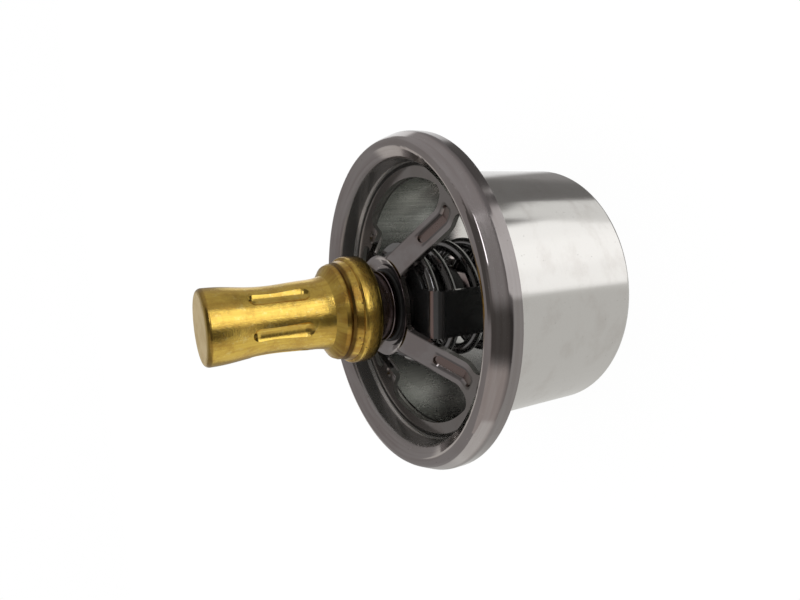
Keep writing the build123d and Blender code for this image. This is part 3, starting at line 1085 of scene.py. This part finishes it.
@dataclass
class Sleeve(SubAssembly):
    """The drawn tube that is the valve, and the bridge across its open end."""

    wall_mid_r: float = 25.5

    def nodes(self) -> tuple[str, ...]:
        """Return the tube and its bridge."""
        return ("sleeve", "sleeve_bridge")

    def finishes(self) -> dict[Slot, Finish]:
        """Choose the drawn finish with this tube's radius.

        Returns:
            The finishes by slot.
        """
        finish = DrawnSleeve(
            "drawn_stainless",
            (0.64, 0.625, 0.61),
            roughness=0.085,
            wall_mid_r=self.wall_mid_r,
        )
        bridge = TurnedSteel("bridge_stainless", (0.46, 0.42, 0.42), roughness=0.12)
        return {Slot.SLEEVE_STEEL: finish, Slot.SPIDER_STEEL: bridge}


# --- studio ---------------------------------------------------------------------------------
@dataclass(frozen=True)
class Card:
    """A lit or dark card that hangs round the object, where bright metal sees it.

    Its place is given in degrees to the camera's right of straight back, and above the level.
    """

    name: str
    colour: RGB
    turn: float
    turn_half: float
    lift: float
    lift_half: float
    soft: float

    def cover(self, turn: Signal, lift: Signal) -> Signal:
        """Return 1 on the card and 0 beside it.

        Args:
            turn: The direction's turn in degrees.
            lift: The direction's lift in degrees.

        Returns:
            How much of the card is seen there.
        """
        half_circle = 180.0
        away = abs(turn - self.turn)
        around = half_circle - abs(away - half_circle)
        wide = around.ramp(self.turn_half + self.soft, self.turn_half)
        high = lift.band(self.lift, self.lift_half, self.soft)
        return wide * high


# Name, colour, turn and half of the width, lift and half of the height, and the edge's width.
CARDS = (
    Card("low_sheet", (0.66, 0.655, 0.63), 118, 52, -42, 44, 14),
    Card("low_front", (0.46, 0.43, 0.41), 10, 50, -66, 20, 12),
    Card("front_dark", (0.09, 0.085, 0.08), 22, 24, -22, 10, 14),
    Card("ceiling", (0.38, 0.37, 0.37), 0, 180, 80, 26, 12),
    Card("ceiling_right", (0.19, 0.185, 0.18), 125, 34, 58, 12, 8),
    Card("left_dark", (0.10, 0.095, 0.09), -28, 22, 14, 24, 12),
    Card("back_left", (0.60, 0.58, 0.55), -145, 11, -10, 12, 5),
    Card("backdrop", (0.9, 0.9, 0.9), 180, 13, 16, 26, 6),
    Card("key_sheet", (1.32, 1.32, 1.3), 63, 31, 25, 21, 4),
    Card("key_corner", (0.90, 0.90, 0.88), 105, 11, 47, 7, 2.5),
    Card("key_core", (1.40, 1.40, 1.38), 60, 28, 27, 5, 8),
    Card("strip_lamp", (3.2, 3.2, 3.3), 10.5, 2.2, 33, 14, 2.2),
)


@dataclass
class Studio:
    """Camera, floor and light.

    The eye and the lamp's aim are in millimetres, and the lamp's way is counted along the
    camera's right, up and back.
    """

    lens_mm: float = 25.2
    sensor_mm: float = 36.0
    sight_m: tuple[float, float] = (0.005, 200.0)
    eye: Triple = (70.41, 70.39, 90.49)
    right: Triple = (0.4234, 0.2444, -0.8723)
    up: Triple = (-0.6553, 0.7475, -0.1086)
    room: RGB = (0.30, 0.29, 0.285)
    even_light: RGB = (0.80, 0.80, 0.80)
    white: RGB = (1.0, 1.0, 1.0)
    floor_half_m: float = 40.0
    floor_paint: RGB = (0.9, 0.9, 0.9)
    floor_glow: float = 1.03
    floor_glow_share: float = 0.93
    lamp_aim: Triple = (0.0, 0.0, 40.0)
    lamp_way: Triple = (0.45, 0.62, 0.64)
    lamp_far_m: float = 0.6
    lamp_size_m: float = 0.35
    lamp_watts: float = 3.0

    def axes(self) -> tuple[Vector, Vector, Vector]:
        """Square the camera's directions.

        Returns:
            Its right, up and back as unit vectors.
        """
        right = Vector(self.right).normalized()
        back = right.cross(Vector(self.up)).normalized()
        return right, back.cross(right).normalized(), back

    def camera(self) -> None:
        """Create the camera and make it the scene's."""
        lens = bpy.data.cameras.new("studio_camera")
        lens.lens = self.lens_mm
        lens.sensor_width = self.sensor_mm
        lens.clip_start, lens.clip_end = self.sight_m
        body = bpy.data.objects.new("studio_camera", lens)
        turn = Matrix(self.axes()).transposed().to_4x4()
        body.matrix_world = Matrix.Translation(Vector(self.eye) * MM) @ turn
        bpy.context.scene.collection.objects.link(body)
        bpy.context.scene.camera = body

    def floor(self) -> None:
        """Lay a wide pale floor under the sleeve, white to the camera but for its shadow."""
        mesh = bpy.data.meshes.new("floor")
        half = self.floor_half_m
        corners = [(-half, -half, 0), (half, -half, 0), (half, half, 0), (-half, half, 0)]
        mesh.from_pydata(corners, [], [(0, 1, 2, 3)])
        made = bpy.data.materials.new("pale_floor")
        made.use_nodes = True
        board = Board(made.node_tree)
        paint = board.node("ShaderNodeBsdfDiffuse", None, {"Color": (*self.floor_paint, 1.0)})
        light = board.node(
            "ShaderNodeEmission",
            None,
            {"Color": (*self.white, 1.0), "Strength": self.floor_glow},
        )
        path = board.node("ShaderNodeLightPath")
        glow = Signal(board, path.outputs["Is Camera Ray"]) * self.floor_glow_share
        both = board.node(
            "ShaderNodeMixShader", None, {0: glow, 1: paint.outputs[0], 2: light.outputs[0]}
        )
        board.node("ShaderNodeOutputMaterial", None, {"Surface": both.outputs[0]})
        mesh.materials.append(made)
        body = bpy.data.objects.new("floor", mesh)
        bpy.context.scene.collection.objects.link(body)
        body.visible_glossy = False

    def world(self) -> None:
        """Set the pale world and hang the cards that bright metal sees."""
        world = bpy.data.worlds.new("studio")
        bpy.context.scene.world = world
        world.use_nodes = True
        board = Board(world.node_tree)
        direction = Signal(board, board.node("ShaderNodeTexCoord").outputs["Generated"])

        def along(axis: Vector) -> Signal:
            """Return how far the direction points along an axis."""
            inputs = {0: direction, 1: tuple(axis)}
            made = board.node("ShaderNodeVectorMath", {"operation": "DOT_PRODUCT"}, inputs)
            return Signal(board, made.outputs["Value"])

        right, up, back = (along(axis) for axis in self.axes())
        degrees = 360.0 / TAU
        turn = board.math("ARCTAN2", right, back) * degrees
        lift = up.math("ARCSINE") * degrees
        tent: Signal | RGB = self.room
        for card in CARDS:
            tent = board.mix(card.cover(turn, lift), tent, card.colour)
        path = board.node("ShaderNodeLightPath")
        glossy = Signal(board, path.outputs["Is Glossy Ray"])
        seen = Signal(board, path.outputs["Is Camera Ray"])
        light = board.mix(glossy, self.even_light, tent)
        light = board.mix(seen, light, self.white)
        shade = board.node("ShaderNodeBackground", None, {"Color": light, "Strength": 1.0})
        board.node("ShaderNodeOutputWorld", None, {"Surface": shade.outputs[0]})
        world.cycles.sampling_method = "NONE"

    def lamp(self) -> None:
        """Hang one soft lamp above and in front, at the camera's right."""
        aim = Vector(self.lamp_aim) * MM
        way = sum((axis * part for axis, part in zip(self.axes(), self.lamp_way)), Vector())
        place = aim + way.normalized() * self.lamp_far_m
        lamp = bpy.data.lights.new("key", "AREA")
        lamp.size = self.lamp_size_m
        lamp.energy = self.lamp_watts
        body = bpy.data.objects.new("key", lamp)
        facing = (place - aim).to_track_quat("Z", "Y").to_matrix().to_4x4()
        body.matrix_world = Matrix.Translation(place) @ facing
        bpy.context.scene.collection.objects.link(body)
        body.visible_glossy = False

    def build(self) -> None:
        """Set up everything that isn't part of the object."""
        bpy.context.scene.view_settings.view_transform = "Standard"
        self.camera()
        self.floor()
        self.world()
        self.lamp()


def main() -> None:
    """Build the studio, the sub-assemblies and their finishes."""
    logging.basicConfig(level=logging.INFO, format="%(name)s: %(message)s")
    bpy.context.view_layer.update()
    Studio().build()
    kinds = (FlangeCup, Spider, WaxElement, NeckStack, ReturnSpring, Yoke, Sleeve)
    for kind in kinds:
        assembly = kind()
        assembly.dress(assembly.build())


if __name__ == "__main__":
    main()
